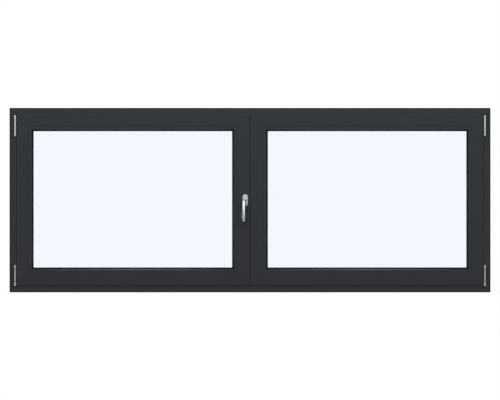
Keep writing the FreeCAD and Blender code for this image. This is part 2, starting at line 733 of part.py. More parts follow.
def drain_cover():
    """Hood on the outside of the sill, open downwards."""
    low = Vector(-DRAIN_COVER_WIDTH / 2, FRAME_OUT_Y, DRAIN_COVER_LIFT)
    hood = box(low, low + Vector(DRAIN_COVER_WIDTH, DRAIN_COVER_DEPTH, DRAIN_COVER_HEIGHT))
    out_y = FRAME_OUT_Y + DRAIN_COVER_DEPTH
    front = [e for e in hood.Edges if e.BoundBox.YMin > out_y - SMALL_ROUNDING]
    hood = hood.makeFillet(EDGE_ROUNDING, front)
    wall = DRAIN_COVER_WALL
    pocket = box(
        low + Vector(wall, 0, 0),
        low + Vector(DRAIN_COVER_WIDTH - wall, DRAIN_COVER_DEPTH - wall, DRAIN_COVER_HEIGHT - wall),
    )
    return single(hood.cut(pocket))


def drain_covers():
    covers = []
    pitch = WINDOW_WIDTH / DRAIN_COVER_COUNT
    for index in range(DRAIN_COVER_COUNT):
        cover = drain_cover()
        cover.translate(Vector((index + 0.5) * pitch - WINDOW_WIDTH / 2, 0, 0))
        covers.append(cover)
    return {"drain_covers": Part.makeCompound(covers)}


def main():
    parts = {}
    parts.update(frame_parts())
    parts.update(sash_parts("left", -SASH_CENTRE_X, {"left": "hinge", "right": "lock"}))
    parts.update(sash_parts("right", SASH_CENTRE_X, {"left": "meeting", "right": "hinge"}))
    parts.update(mullion_parts())
    parts.update(handle_parts())
    parts.update(hinge_parts())
    parts.update(drain_covers())
    os.makedirs("parts", exist_ok=True)
    for name, shape in parts.items():
        shape.exportStep(os.path.join("parts", name + ".step"))
        solids = len(shape.Solids)
        print(f"{name}: {solids} solid(s), valid {shape.isValid()}, {shape.Volume / 1000:.1f} cm3")


main()
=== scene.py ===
import json
import math
from collections import namedtuple

import bpy
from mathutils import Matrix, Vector


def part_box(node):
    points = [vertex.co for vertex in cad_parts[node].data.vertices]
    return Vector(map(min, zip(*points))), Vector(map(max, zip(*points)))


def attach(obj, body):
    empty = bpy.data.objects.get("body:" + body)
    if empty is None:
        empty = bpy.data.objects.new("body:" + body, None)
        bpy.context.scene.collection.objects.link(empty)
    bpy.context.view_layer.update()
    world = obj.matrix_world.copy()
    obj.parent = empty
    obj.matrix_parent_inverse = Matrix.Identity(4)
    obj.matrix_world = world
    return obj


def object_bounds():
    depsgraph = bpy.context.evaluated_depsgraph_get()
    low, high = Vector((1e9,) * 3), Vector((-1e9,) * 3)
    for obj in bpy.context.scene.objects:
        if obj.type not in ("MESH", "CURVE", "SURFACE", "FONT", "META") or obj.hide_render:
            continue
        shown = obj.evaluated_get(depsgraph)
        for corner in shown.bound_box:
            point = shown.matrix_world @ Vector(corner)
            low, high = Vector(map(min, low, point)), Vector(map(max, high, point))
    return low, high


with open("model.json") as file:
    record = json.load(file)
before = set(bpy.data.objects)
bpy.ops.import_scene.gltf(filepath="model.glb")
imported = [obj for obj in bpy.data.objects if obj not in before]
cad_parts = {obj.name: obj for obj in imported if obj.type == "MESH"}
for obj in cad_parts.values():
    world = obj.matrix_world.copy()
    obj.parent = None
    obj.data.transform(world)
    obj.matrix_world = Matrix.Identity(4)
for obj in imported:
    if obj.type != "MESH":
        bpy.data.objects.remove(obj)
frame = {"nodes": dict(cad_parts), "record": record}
cad_low, cad_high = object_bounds()
nodes = frame["nodes"]

# Places taken from the frame, in metres

frame_low, frame_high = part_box("frame_sill")
FRAME_WIDTH = frame_high.x - frame_low.x
FRAME_ROOM_Y = frame_low.y
WINDOW_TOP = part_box("frame_head")[1].z
WINDOW_MIDDLE = WINDOW_TOP / 2
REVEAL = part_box("left_sash_hinge_stile")[0].x - frame_low.x


# Node trees

def new_material(name):
    """Empty principled material; returns it with its node tree and shader."""
    material = bpy.data.materials.new(name)
    material.use_nodes = True
    tree = material.node_tree
    return material, tree, tree.nodes["Principled BSDF"]


def set_inputs(node, values):
    """Sets plain values on a node's own sockets."""
    for socket, value in values.items():
        node.inputs[socket].default_value = value


def set_colour(tree, shader, tone):
    tree.links.new(tone, shader.inputs["Base Color"])


def set_roughness(tree, shader, roughness):
    tree.links.new(roughness, shader.inputs["Roughness"])


def object_coordinates(tree):
    return tree.nodes.new("ShaderNodeTexCoord").outputs["Object"]


def parted(tree, vector):
    """The x, y and z of a vector."""
    split = tree.nodes.new("ShaderNodeSeparateXYZ")
    tree.links.new(vector, split.inputs["Vector"])
    return split.outputs["X"], split.outputs["Y"], split.outputs["Z"]


def stretched(tree, vector, scale):
    mapping = tree.nodes.new("ShaderNodeMapping")
    set_inputs(mapping, {"Scale": scale})
    tree.links.new(vector, mapping.inputs["Vector"])
    return mapping.outputs["Vector"]


def noise(tree, vector, scale, detail=2.0, roughness=0.5):
    texture = tree.nodes.new("ShaderNodeTexNoise")
    set_inputs(texture, {"Scale": scale, "Detail": detail, "Roughness": roughness})
    tree.links.new(vector, texture.inputs["Vector"])
    return texture.outputs["Fac"]


def sums(tree, operation, first, second=None):
    """Math node; each input is a socket or a number."""
    node = tree.nodes.new("ShaderNodeMath")
    node.operation = operation
    for index, value in enumerate((first, second)):
        if isinstance(value, (int, float)):
            node.inputs[index].default_value = value
        elif value is not None:
            tree.links.new(value, node.inputs[index])
    return node.outputs["Value"]


def product(tree, first, *others):
    for other in others:
        first = sums(tree, "MULTIPLY", first, other)
    return first


def apart(tree, first, second):
    """Distance between two values."""
    return sums(tree, "ABSOLUTE", sums(tree, "SUBTRACT", first, second))


def spread(tree, value, low, high, fade=(0.0, 1.0), smooth=False):
    """Goes from low to high while the value goes through a fade, which is a start and an end."""
    ranged = tree.nodes.new("ShaderNodeMapRange")
    if smooth:
        ranged.interpolation_type = "SMOOTHSTEP"
    start, end = fade
    set_inputs(ranged, {"From Min": start, "From Max": end, "To Min": low, "To Max": high})
    tree.links.new(value, ranged.inputs["Value"])
    return ranged.outputs["Result"]


def rising(tree, value, fade, smooth=False):
    """0 before a fade and 1 after it."""
    return spread(tree, value, 0.0, 1.0, fade, smooth)


def falling(tree, value, fade, smooth=False):
    """1 before a fade and 0 after it."""
    return spread(tree, value, 1.0, 0.0, fade, smooth)


def counted_from(base, fade):
    """A fade that is given as distances behind a base."""
    start, end = fade
    return base + start, base + end


def blended(tree, value, first, second):
    """Colour that goes from first to second with a 0 to 1 value; each is a socket or a plain tone."""
    mix = tree.nodes.new("ShaderNodeMix")
    mix.data_type = "RGBA"
    for socket, colour in (("A", first), ("B", second)):
        if isinstance(colour, tuple):
            mix.inputs[socket].default_value = (*colour, 1.0)
        else:
            tree.links.new(colour, mix.inputs[socket])
    tree.links.new(value, mix.inputs["Factor"])
    return mix.outputs["Result"]


def bump(tree, shader, height, strength, distance, under=None):
    """Relief on a shader, laid over another relief where one is given."""
    node = tree.nodes.new("ShaderNodeBump")
    set_inputs(node, {"Strength": strength, "Distance": distance})
    tree.links.new(height, node.inputs["Height"])
    if under is not None:
        tree.links.new(under, node.inputs["Normal"])
    tree.links.new(node.outputs["Normal"], shader.inputs["Normal"])
    return node.outputs["Normal"]


def grey(level):
    return level, level, level


def scaled(tone, shares):
    """A tone with its red, green and blue made paler or darker by their shares."""
    return tuple(share * part for share, part in zip(shares, tone))


# Rectangles that the profiles run round, and places in them

Rectangle = namedtuple("Rectangle", "middle_x middle_z half_width half_height")
Reach = namedtuple("Reach", "x depth z across along side level")


def rectangle_of(left, right, low, high):
    """Outer rectangle of four profiles."""
    low_corner = Vector((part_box(left)[0].x, 0.0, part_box(low)[0].z))
    high_corner = Vector((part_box(right)[1].x, 0.0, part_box(high)[1].z))
    middle = (low_corner + high_corner) / 2
    half = (high_corner - low_corner) / 2
    return Rectangle(middle.x, middle.z, half.x, half.z)


FRAME_RECTANGLE = rectangle_of("frame_left_jamb", "frame_right_jamb", "frame_sill", "frame_head")
SASH_RECTANGLES = {
    "left": rectangle_of(
        "left_sash_hinge_stile", "left_sash_lock_stile", "left_sash_bottom_rail", "left_sash_top_rail"
    ),
    "right": rectangle_of(
        "right_sash_meeting_stile",
        "right_sash_hinge_stile",
        "right_sash_bottom_rail",
        "right_sash_top_rail",
    ),
}

# Distance from a sash's edge to where its pane begins to show
SIGHT_LINE = 0.0887
CORNER_POWER = 0.5


def reach_in(tree, place, rectangle):
    """A place's coordinates, its distances from a rectangle's middle and those from its nearer edges."""
    x, depth, z = parted(tree, place)
    across = apart(tree, x, rectangle.middle_x)
    along = apart(tree, z, rectangle.middle_z)
    side = sums(tree, "SUBTRACT", rectangle.half_width, across)
    level = sums(tree, "SUBTRACT", rectangle.half_height, along)
    return Reach(x, depth, z, across, along, side, level)


def corner_shade(tree, reach, rectangle):
    """1 at the middle of each run round the pane, falling to 0 in the pane's corners."""
    share_across = sums(tree, "DIVIDE", reach.across, rectangle.half_width - SIGHT_LINE)
    share_along = sums(tree, "DIVIDE", reach.along, rectangle.half_height - SIGHT_LINE)
    nearness = sums(tree, "MINIMUM", share_across, share_along)
    return sums(tree, "POWER", falling(tree, nearness, (0.0, 1.0)), CORNER_POWER)


# Film of the profiles

FILM_DARK = (0.0262, 0.0311, 0.0376)
FILM_LIGHT = (0.0290, 0.0342, 0.0413)
WHOLE_SHARES = grey(1.0)
SEAM_SHARES = grey(0.55)
MITRE_FADE = (0.0, 0.0007)


def mitre_seam(tree, reach):
    """0 on the line of each mitre and 1 off it."""
    return rising(tree, apart(tree, reach.side, reach.level), MITRE_FADE, smooth=True)


def film_surface(tree, shader, place, tone, seam):
    """Colour, gloss and fine sanded grain of the film, with a shallow groove along the mitres."""
    set_colour(tree, shader, blended(tree, seam, scaled(FILM_DARK, SEAM_SHARES), tone))
    gloss = noise(tree, place, scale=60.0, detail=4.0)
    set_roughness(tree, shader, spread(tree, gloss, low=0.44, high=0.56))
    groove = bump(tree, shader, seam, strength=0.5, distance=0.0004)
    grain = noise(tree, place, scale=1100.0, detail=3.0, roughness=0.6)
    bump(tree, shader, grain, strength=0.25, distance=0.0002, under=groove)
    set_inputs(shader, {"Specular IOR Level": 0.18})


def film_tone(tree, place, shares=WHOLE_SHARES):
    """Film colour with slow cloudy changes."""
    clouds = noise(tree, place, scale=9.0, detail=3.0)
    return blended(tree, clouds, scaled(FILM_DARK, shares), scaled(FILM_LIGHT, shares))


# Shares of the sash film low down and high up; the difference between them is painted light, the change of
# colour that the light gives from bottom to top.
LOW_SHARES = (1.035, 0.966, 0.953)
HIGH_SHARES = (0.97, 0.99, 0.97)
# Light painted along the sashes' meeting and bottom edges, against the shade in the gap between the sashes
# and under them.
PAINTED_LIGHT_EDGE_TONE = (0.066, 0.072, 0.080)
PAINTED_LIGHT_EDGE_FADE = (0.0, 0.008)
# Shade painted along the sashes' top edge, against the light that falls on its rounding from above.
PAINTED_SHADE_TOP_TONE = (0.0245, 0.0300, 0.0352)
PAINTED_SHADE_TOP_FADE = (0.005, 0.008)


def sash_tone(tree, place, height):
    """Film colour of the sashes, a little more neutral low down; this change with height is painted light,
    not a change in the film.
    """
    low = film_tone(tree, place, LOW_SHARES)
    high = film_tone(tree, place, HIGH_SHARES)
    return blended(tree, rising(tree, height, (0.0, WINDOW_TOP)), low, high)


def sash_film(name, rectangle):
    """Film of a sash or the floating mullion, with shade painted along its top edge and light painted along
    its meeting and bottom edges.
    """
    material, tree, shader = new_material(name)
    place = object_coordinates(tree)
    reach = reach_in(tree, place, rectangle)
    # Shade painted along the top edge.
    from_high = sums(tree, "SUBTRACT", rectangle.middle_z + rectangle.half_height, reach.z)
    off_top = rising(tree, from_high, PAINTED_SHADE_TOP_FADE)
    face = blended(tree, off_top, PAINTED_SHADE_TOP_TONE, sash_tone(tree, place, reach.z))
    # Light painted along the meeting and bottom edges, against their shade.
    from_meeting = sums(tree, "ABSOLUTE", reach.x)
    from_low = sums(tree, "SUBTRACT", reach.z, rectangle.middle_z - rectangle.half_height)
    inwards = sums(tree, "MINIMUM", from_meeting, from_low)
    off_edge = rising(tree, inwards, PAINTED_LIGHT_EDGE_FADE, smooth=True)
    tone = blended(tree, off_edge, PAINTED_LIGHT_EDGE_TONE, face)
    film_surface(tree, shader, place, tone, mitre_seam(tree, reach))
    return material


# Each run of the frame has shares that paint it lighter or darker for how light falls on it, and a recess
# tone that is light painted beside the sash, against the sash's shade.
FrameTones = namedtuple("FrameTones", "shares recess")
FRAME_TONES = {
    "sill": FrameTones(shares=(1.25, 1.14, 1.04), recess=(0.072, 0.076, 0.083)),
    "head": FrameTones(shares=(1.08, 1.17, 1.13), recess=(0.071, 0.083, 0.091)),
    "jamb": FrameTones(shares=(1.12, 1.08, 1.03), recess=(0.074, 0.080, 0.088)),
}
PAINTED_LIGHT_START = 0.72
CUT_EDGE_TONE = (0.005, 0.0055, 0.006)
CUT_EDGE_FADE = (0.0034, 0.0068)
ROOM_FACE_FADE = (0.001, 0.002)


def frame_film(name, tones):
    """Film of the outer frame: its room face has a dark cut edge and is painted paler beside the sash,
    against the sash's shade; each run's shares paint it lighter or darker for how light falls on it.
    """
    material, tree, shader = new_material(name)
    place = object_coordinates(tree)
    reach = reach_in(tree, place, FRAME_RECTANGLE)
    inwards = sums(tree, "MINIMUM", reach.side, reach.level)
    # Light painted on the room face beside the sash, against the sash's shade.
    beside_sash = rising(tree, inwards, (PAINTED_LIGHT_START * REVEAL, REVEAL), smooth=True)
    room_tone = blended(tree, beside_sash, film_tone(tree, place, tones.shares), tones.recess)
    room_tone = blended(tree, rising(tree, inwards, CUT_EDGE_FADE), CUT_EDGE_TONE, room_tone)
    behind = rising(tree, reach.depth, counted_from(FRAME_ROOM_Y, ROOM_FACE_FADE))
    tone = blended(tree, behind, room_tone, film_tone(tree, place))
    film_surface(tree, shader, place, tone, mitre_seam(tree, reach))
    return material


# Lit and shaded tones of the beads' film by run: the bottom's edge tone is a painted highlight on the
# bead's upper edge; the slopes are painted darker towards the pane, and darker still on the uprights, as
# painted shade; the top's slope is painted pale, as painted light from below.
BeadTones = namedtuple("BeadTones", "near_face near_pane edge")
BEAD_TONES = {
    "bottom": BeadTones(
        near_face=(0.030, 0.031, 0.033),
        near_pane=(0.006, 0.006, 0.0065),
        edge=(0.136, 0.140, 0.147),
    ),
    "top": BeadTones(
        near_face=(0.075, 0.079, 0.086),
        near_pane=(0.075, 0.079, 0.086),
        edge=FILM_LIGHT,
    ),
    "upright": BeadTones(
        near_face=(0.025, 0.027, 0.030),
        near_pane=(0.003, 0.003, 0.0034),
        edge=FILM_LIGHT,
    ),
}
# Painted shade in the corners of each slope.
PAINTED_CORNER_SHADE_TONE = (0.002, 0.002, 0.0022)
BEAD_EDGE_FADE = (0.0759, 0.07719)
# Fade of the painted highlight towards the corners.
OFF_CORNER_FADE = (0.3, 1.0)
SLOPE_START_FADE = (0.0004, 0.0016)
SLOPE_FADE = (0.006, 0.008)


def bead_film(name, rectangle, face_y, tones):
    """Film of a bead: a highlight painted along the edge of its face, and a slope with shade painted on it,
    darker towards pane and corners.
    """
    material, tree, shader = new_material(name)
    place = object_coordinates(tree)
    reach = reach_in(tree, place, rectangle)
    shade = corner_shade(tree, reach, rectangle)
    inwards = sums(tree, "MINIMUM", reach.side, reach.level)
    at_edge = rising(tree, inwards, BEAD_EDGE_FADE, smooth=True)
    # Painted highlight along the edge of the face, fading towards the corners.
    on_painted_highlight = product(tree, at_edge, rising(tree, shade, OFF_CORNER_FADE))
    face = blended(tree, on_painted_highlight, sash_tone(tree, place, reach.z), tones.edge)
    near_pane = rising(tree, reach.depth, counted_from(face_y, SLOPE_FADE))
    slope = blended(tree, near_pane, tones.near_face, tones.near_pane)
    # Painted shade in the corners of the slope.
    slope = blended(tree, shade, PAINTED_CORNER_SHADE_TONE, slope)
    on_slope = rising(tree, reach.depth, counted_from(face_y, SLOPE_START_FADE))
    tone = blended(tree, on_slope, face, slope)
    film_surface(tree, shader, place, tone, mitre_seam(tree, reach))
    return material


# Plastic, rubber and glass

TRIM_DARK = (0.022, 0.024, 0.027)
TRIM_LIGHT = (0.029, 0.032, 0.035)
RUBBER_DARK = (0.006, 0.006, 0.007)
RUBBER_LIGHT = (0.012, 0.012, 0.013)
# Tones of the seal round a pane: the top is painted pale as painted light from below, the uprights darker
# as painted shade, and the corners near black as painted shade.
PANE_SEAL_LIT_AND_SHADED_TONES = {
    "bottom": (0.008, 0.008, 0.009),
    "top": (0.055, 0.058, 0.062),
    "upright": (0.004, 0.004, 0.0045),
    "corner": (0.001, 0.001, 0.0011),
}
GLASS_TINT = (0.956, 0.969, 1.0)
SPACER_DARK = (0.17, 0.175, 0.18)
SPACER_LIGHT = (0.22, 0.225, 0.23)


def moulded_trim():
    """Moulded plastic of the end caps and drain covers."""
    material, tree, shader = new_material("moulded_trim")
    place = object_coordinates(tree)
    clouds = noise(tree, place, scale=30.0, detail=3.0)
    set_colour(tree, shader, blended(tree, clouds, TRIM_DARK, TRIM_LIGHT))
    gloss = noise(tree, place, scale=240.0)
    set_roughness(tree, shader, spread(tree, gloss, low=0.42, high=0.55))
    bump(tree, shader, noise(tree, place, scale=1600.0), strength=0.2, distance=0.00015)
    set_inputs(shader, {"Specular IOR Level": 0.25})
    return material


def rubber_grain(tree, shader, place):
    bump(tree, shader, noise(tree, place, scale=900.0), strength=0.15, distance=0.0002)


def seal_rubber():
    """Black rubber of the seals of the frame, the sashes and the mullion."""
    material, tree, shader = new_material("seal_rubber")
    place = object_coordinates(tree)
    clouds = noise(tree, place, scale=160.0)
    set_colour(tree, shader, blended(tree, clouds, RUBBER_DARK, RUBBER_LIGHT))
    rubber_grain(tree, shader, place)
    set_inputs(shader, {"Roughness": 0.62, "Specular IOR Level": 0.2})
    return material


def glazing_rubber(name, rectangle):
    """Seal round a pane: matt black, with light painted pale along the top, shade painted on the uprights
    and black shade painted in the corners.
    """
    material, tree, shader = new_material(name)
    place = object_coordinates(tree)
    reach = reach_in(tree, place, rectangle)
    above = sums(tree, "GREATER_THAN", reach.z, rectangle.middle_z)
    level_tone = blended(tree, above, PANE_SEAL_LIT_AND_SHADED_TONES["bottom"], PANE_SEAL_LIT_AND_SHADED_TONES["top"])
    upright = sums(tree, "LESS_THAN", reach.side, reach.level)
    tone = blended(tree, upright, level_tone, PANE_SEAL_LIT_AND_SHADED_TONES["upright"])
    shade = corner_shade(tree, reach, rectangle)
    set_colour(tree, shader, blended(tree, shade, PANE_SEAL_LIT_AND_SHADED_TONES["corner"], tone))
    rubber_grain(tree, shader, place)
    set_inputs(shader, {"Roughness": 0.7, "Specular IOR Level": 0.05})
    return material


def clear_glass():
    """Smooth glass with a faint cool tint."""
    material, _, shader = new_material("clear_glass")
    set_inputs(shader, {"Base Color": (*GLASS_TINT, 1.0), "Roughness": 0.0})
    set_inputs(shader, {"Transmission Weight": 1.0, "IOR": 1.2})
    return material


def spacer_bar():
    """Grey of the bar between the panes."""
    material, tree, shader = new_material("spacer_bar")
    grain = noise(tree, object_coordinates(tree), scale=400.0)
    set_colour(tree, shader, blended(tree, grain, SPACER_DARK, SPACER_LIGHT))
    set_inputs(shader, {"Roughness": 0.55})
    return material


# Silver of the handle and the hinges

Silver = namedtuple("Silver", "dark light roughness metallic")
LEVER_SILVER = Silver(
    dark=(0.66, 0.66, 0.665), light=(0.735, 0.735, 0.74), roughness=0.52, metallic=1.0
)
ROSETTE_SILVER = Silver(
    dark=(0.555, 0.58, 0.63), light=(0.605, 0.63, 0.685), roughness=0.34, metallic=0.5
)
UPPER_HINGE_SILVER = Silver(
    dark=(0.655, 0.675, 0.705), light=(0.745, 0.765, 0.795), roughness=0.36, metallic=0.5
)
LOWER_HINGE_SILVER = Silver(
    dark=(0.51, 0.52, 0.54), light=(0.57, 0.58, 0.60), roughness=0.4, metallic=0.5
)
LOWER_BEARING_SILVER = Silver(
    dark=(0.475, 0.485, 0.505), light=(0.535, 0.545, 0.565), roughness=0.4, metallic=0.5
)
SCREW_SILVER = Silver(
    dark=(0.42, 0.42, 0.43), light=(0.5, 0.5, 0.51), roughness=0.35, metallic=1.0
)
BRUSH_STRETCH = (1.0, 1.0, 0.04)
GLOSS_CHANGE = 0.05


def satin_surface(tree, shader, place, silver):
    """Gloss and fine upright brushing of satin silver; returns its brushed colour."""
    brushed = noise(tree, stretched(tree, place, BRUSH_STRETCH), scale=2600.0, detail=3.0)
    smudged = noise(tree, place, scale=45.0, detail=3.0)
    glossy = silver.roughness - GLOSS_CHANGE
    dull = silver.roughness + GLOSS_CHANGE
    set_roughness(tree, shader, spread(tree, smudged, glossy, dull))
    bump(tree, shader, brushed, strength=0.06, distance=0.0001)
    set_inputs(shader, {"Metallic": silver.metallic})
    return blended(tree, brushed, silver.dark, silver.light)


def satin_silver(name, silver):
    """Satin silver that is the same all over a piece."""
    material, tree, shader = new_material(name)
    set_colour(tree, shader, satin_surface(tree, shader, object_coordinates(tree), silver))
    return material


# Zones of the lever where a highlight and shade are painted, by x across it and by z along it
PAINTED_HIGHLIGHT_TONE = (0.93, 0.93, 0.935)
HIGHLIGHT_START_X = (-0.0315, -0.0285)
HIGHLIGHT_END_X = (-0.0252, -0.0235)
PAINTED_SHADE_TONE = (0.28, 0.282, 0.288)
LEFT_FLANK_END_X = (-0.0405, -0.0330)
LEFT_FLANK_FOOT_Z = (0.362, 0.396)
LEFT_FLANK_TOP_Z = (0.402, 0.436)
RIGHT_FLANK_START_X = (-0.0270, -0.0250)
RIGHT_FLANK_TOP_Z = (0.410, 0.422)


def lever_silver():
    """Satin silver of the lever, with a highlight painted along its front and shade painted on the grip's
    flanks.
    """
    material, tree, shader = new_material("satin_silver")
    place = object_coordinates(tree)
    bright = satin_surface(tree, shader, place, LEVER_SILVER)
    x, _, z = parted(tree, place)
    on_highlight = product(
        tree,
        rising(tree, x, HIGHLIGHT_START_X, smooth=True),
        falling(tree, x, HIGHLIGHT_END_X, smooth=True),
    )
    left_flank = product(
        tree,
        falling(tree, x, LEFT_FLANK_END_X, smooth=True),
        rising(tree, z, LEFT_FLANK_FOOT_Z, smooth=True),
        falling(tree, z, LEFT_FLANK_TOP_Z, smooth=True),
    )
    right_flank = product(
        tree,
        rising(tree, x, RIGHT_FLANK_START_X, smooth=True),
        falling(tree, z, RIGHT_FLANK_TOP_Z, smooth=True),
    )
    # Painted highlight along the front.
    front = blended(tree, on_highlight, bright, PAINTED_HIGHLIGHT_TONE)
    # Painted shade on the grip's flanks.
    flanks = sums(tree, "MAXIMUM", left_flank, right_flank)
    set_colour(tree, shader, blended(tree, flanks, front, PAINTED_SHADE_TONE))
    return material


# Zone of the rosette beside the grip, where the lever's shadow is painted
PAINTED_SHADOW_TONE = (0.38, 0.39, 0.415)
SHADOW_START_X = (-0.0300, -0.0275)
SHADOW_END_X = (-0.0180, -0.0155)
SHADOW_TOP_Z = (0.4600, 0.4625)


def rosette_silver():
    """Satin silver of the rosette, with the lever's shadow painted beside the grip."""
    material, tree, shader = new_material("satin_silver_rosette")
    place = object_coordinates(tree)
    bright = satin_surface(tree, shader, place, ROSETTE_SILVER)
    x, _, z = parted(tree, place)
    # Painted shadow of the lever beside the grip.
    beside = product(
        tree,
        rising(tree, x, SHADOW_START_X, smooth=True),
        falling(tree, x, SHADOW_END_X, smooth=True),
        falling(tree, z, SHADOW_TOP_Z, smooth=True),
    )
    set_colour(tree, shader, blended(tree, beside, bright, PAINTED_SHADOW_TONE))
    return material


HINGE_GAP_TONE = (0.05, 0.05, 0.052)
HINGE_GAP = 0.0024
HINGE_RIM = 0.0017
SLEEVE_TONE = (0.445, 0.455, 0.475)
SLEEVE_CAP_LENGTH = 0.0155
KNUCKLE_CAP_TONE = (0.88, 0.89, 0.91)
KNUCKLE_CAP_LENGTH = 0.0115


def ring(tree, height, low, high):
    """1 between two heights and 0 elsewhere."""
    over = sums(tree, "GREATER_THAN", height, low)
    under = sums(tree, "LESS_THAN", height, high)
    return product(tree, over, under)


def hinge_sleeve_silver():
    """Silver of the lower hinge's sleeve: duller below its cap, with two dark gaps and a dark rim."""
    material, tree, shader = new_material("hinge_silver_sleeve")
    place = object_coordinates(tree)
    bright = satin_surface(tree, shader, place, LOWER_HINGE_SILVER)
    height = parted(tree, place)[2]
    sleeve_low, sleeve_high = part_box("left_lower_hinge_sleeve")
    cap_low = sleeve_high.z - SLEEVE_CAP_LENGTH
    dull = blended(tree, sums(tree, "LESS_THAN", height, cap_low), bright, SLEEVE_TONE)
    under_cap = ring(tree, height, cap_low - HINGE_GAP, cap_low)
    foot = ring(tree, height, sleeve_low.z, sleeve_low.z + HINGE_GAP)
    rim = sums(tree, "GREATER_THAN", height, sleeve_high.z - HINGE_RIM)
    gaps = sums(tree, "MAXIMUM", rim, sums(tree, "MAXIMUM", under_cap, foot))
    set_colour(tree, shader, blended(tree, gaps, dull, HINGE_GAP_TONE))
    return material


def hinge_knuckle_silver():
    """Silver of the upper hinge's knuckle: a brighter cap with a dark rim."""
    material, tree, shader = new_material("hinge_silver_knuckle")
    place = object_coordinates(tree)
    bright = satin_surface(tree, shader, place, UPPER_HINGE_SILVER)
    height = parted(tree, place)[2]
    knuckle_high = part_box("left_upper_hinge_knuckle")[1].z
    in_cap = sums(tree, "GREATER_THAN", height, knuckle_high - KNUCKLE_CAP_LENGTH)
    capped = blended(tree, in_cap, bright, KNUCKLE_CAP_TONE)
    rim = sums(tree, "GREATER_THAN", height, knuckle_high - HINGE_RIM)
    set_colour(tree, shader, blended(tree, rim, capped, HINGE_GAP_TONE))
    return material


# Dressing the pieces

def film_finishes():
    """Films of the profiles and beads, by the keys that film_key gives."""
    films = {"floating": sash_film("film_mullion", FRAME_RECTANGLE)}
    for run, tones in FRAME_TONES.items():
        films["frame_" + run] = frame_film("film_frame_" + run, tones)
    for side, rectangle in SASH_RECTANGLES.items():
        films[side] = sash_film("film_" + side + "_sash", rectangle)
        face_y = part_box(side + "_sash_bottom_bead")[0].y
        for run, tones in BEAD_TONES.items():
            key = side + "_" + run
            films[key] = bead_film("film_" + key + "_bead", rectangle, face_y, tones)
    return films


def film_key(node):
    """Key of the film that a profile or a bead has."""
    words = node.split("_")
    side = words[0]
    if side == "frame":
        return "frame_" + words[-1]
    if words[-1] == "bead":
        run = words[2]
        return side + "_" + (run if run in BEAD_TONES else "upright")
    return side


def own_finishes():
    """Finishes of the other pieces that differ from the rest of their slot, by node."""
    hinge_finishes = {
        "_lower_hinge_sleeve": hinge_sleeve_silver(),
        "_upper_hinge_knuckle": hinge_knuckle_silver(),
        "_lower_hinge_bearing": satin_silver("hinge_silver_bearing", LOWER_BEARING_SILVER),
    }
    own = {"handle_rosette": rosette_silver()}
    for side, rectangle in SASH_RECTANGLES.items():
        own[side + "_glazing_gaskets"] = glazing_rubber("rubber_" + side + "_pane", rectangle)
        for ending, finish in hinge_finishes.items():
            own[side + ending] = finish
    return own


def dress_nodes():
    """Gives every piece of the window its film, its own finish or the finish of its record slot."""
    slots = {
        "anthracite_trim": moulded_trim(),
        "black_rubber": seal_rubber(),
        "clear_glass": clear_glass(),
        "spacer_grey": spacer_bar(),
        "satin_silver": lever_silver(),
        "hinge_silver": satin_silver("hinge_silver", UPPER_HINGE_SILVER),
    }
    films = film_finishes()
    own = own_finishes()
    for subpart in frame["record"]["subparts"]:
        node = subpart["node"]
        slot = subpart["material_slot"]
        if slot == "anthracite_profile":
            finish = films[film_key(node)]
        else:
            finish = own.get(node, slots[slot])
        mesh = nodes[node].data
        mesh.materials.clear()
        mesh.materials.append(finish)


# Hinge screws

SCREW_RADIUS = 0.0029
SCREW_SIDES = 40
SCREW_HEIGHT = 0.0006
SCREW_DOME = 0.0002
SCREW_KEY = 0.0016
SCREW_KEY_SIDES = 6
SMOOTH_ANGLE = math.radians(35)
FACES_UP = 0.9


def pick_faces(piece, wanted):
    """Goes to edit mode with only the wanted faces of a piece selected."""
    bpy.ops.object.mode_set(mode="EDIT")
    bpy.ops.mesh.select_mode(type="FACE")
    bpy.ops.mesh.select_all(action="DESELECT")
    bpy.ops.object.mode_set(mode="OBJECT")
    for face in piece.data.polygons:
        face.select = wanted(face)
    bpy.ops.object.mode_set(mode="EDIT")


def hinge_screw(centre):
    """Domed adjusting screw with a hexagon recess, on top of a hinge."""
    bpy.ops.object.select_all(action="DESELECT")
    bpy.ops.mesh.primitive_cylinder_add(
        vertices=SCREW_SIDES, radius=SCREW_RADIUS, depth=2 * SCREW_HEIGHT, location=centre
    )
    screw = bpy.context.object
    bpy.ops.object.transform_apply(location=True, rotation=True, scale=True)
    pick_faces(screw, lambda face: face.normal.z > FACES_UP)
    bpy.ops.mesh.inset(thickness=2 * SCREW_DOME)
    bpy.ops.transform.translate(value=(0.0, 0.0, SCREW_DOME))
    bpy.ops.object.mode_set(mode="OBJECT")
    bpy.ops.object.select_all(action="DESELECT")
    key_centre = centre + Vector((0.0, 0.0, SCREW_HEIGHT))
    bpy.ops.mesh.primitive_cylinder_add(
        vertices=SCREW_KEY_SIDES, radius=SCREW_KEY, depth=2 * SCREW_HEIGHT, location=key_centre
    )
    key = bpy.context.object
    bpy.ops.object.select_all(action="DESELECT")
    screw.select_set(True)
    bpy.context.view_layer.objects.active = screw
    cut = screw.modifiers.new("hexagon", "BOOLEAN")
    cut.operation = "DIFFERENCE"
    cut.object = key
    bpy.ops.object.modifier_apply(modifier=cut.name)
    bpy.data.objects.remove(key, do_unlink=True)
    bpy.ops.object.shade_smooth_by_angle(angle=SMOOTH_ANGLE)
    return screw


def copied_to(piece, name, shift):
    """Copy of a piece with its own mesh, moved by shift, with its place kept in the mesh."""
    bpy.ops.object.select_all(action="DESELECT")
    piece.select_set(True)
    bpy.context.view_layer.objects.active = piece
    bpy.ops.object.duplicate(linked=False)
    copy = bpy.context.object
    copy.name = name
    bpy.ops.transform.translate(value=shift)
    bpy.ops.object.transform_apply(location=True, rotation=True, scale=True)
    return copy


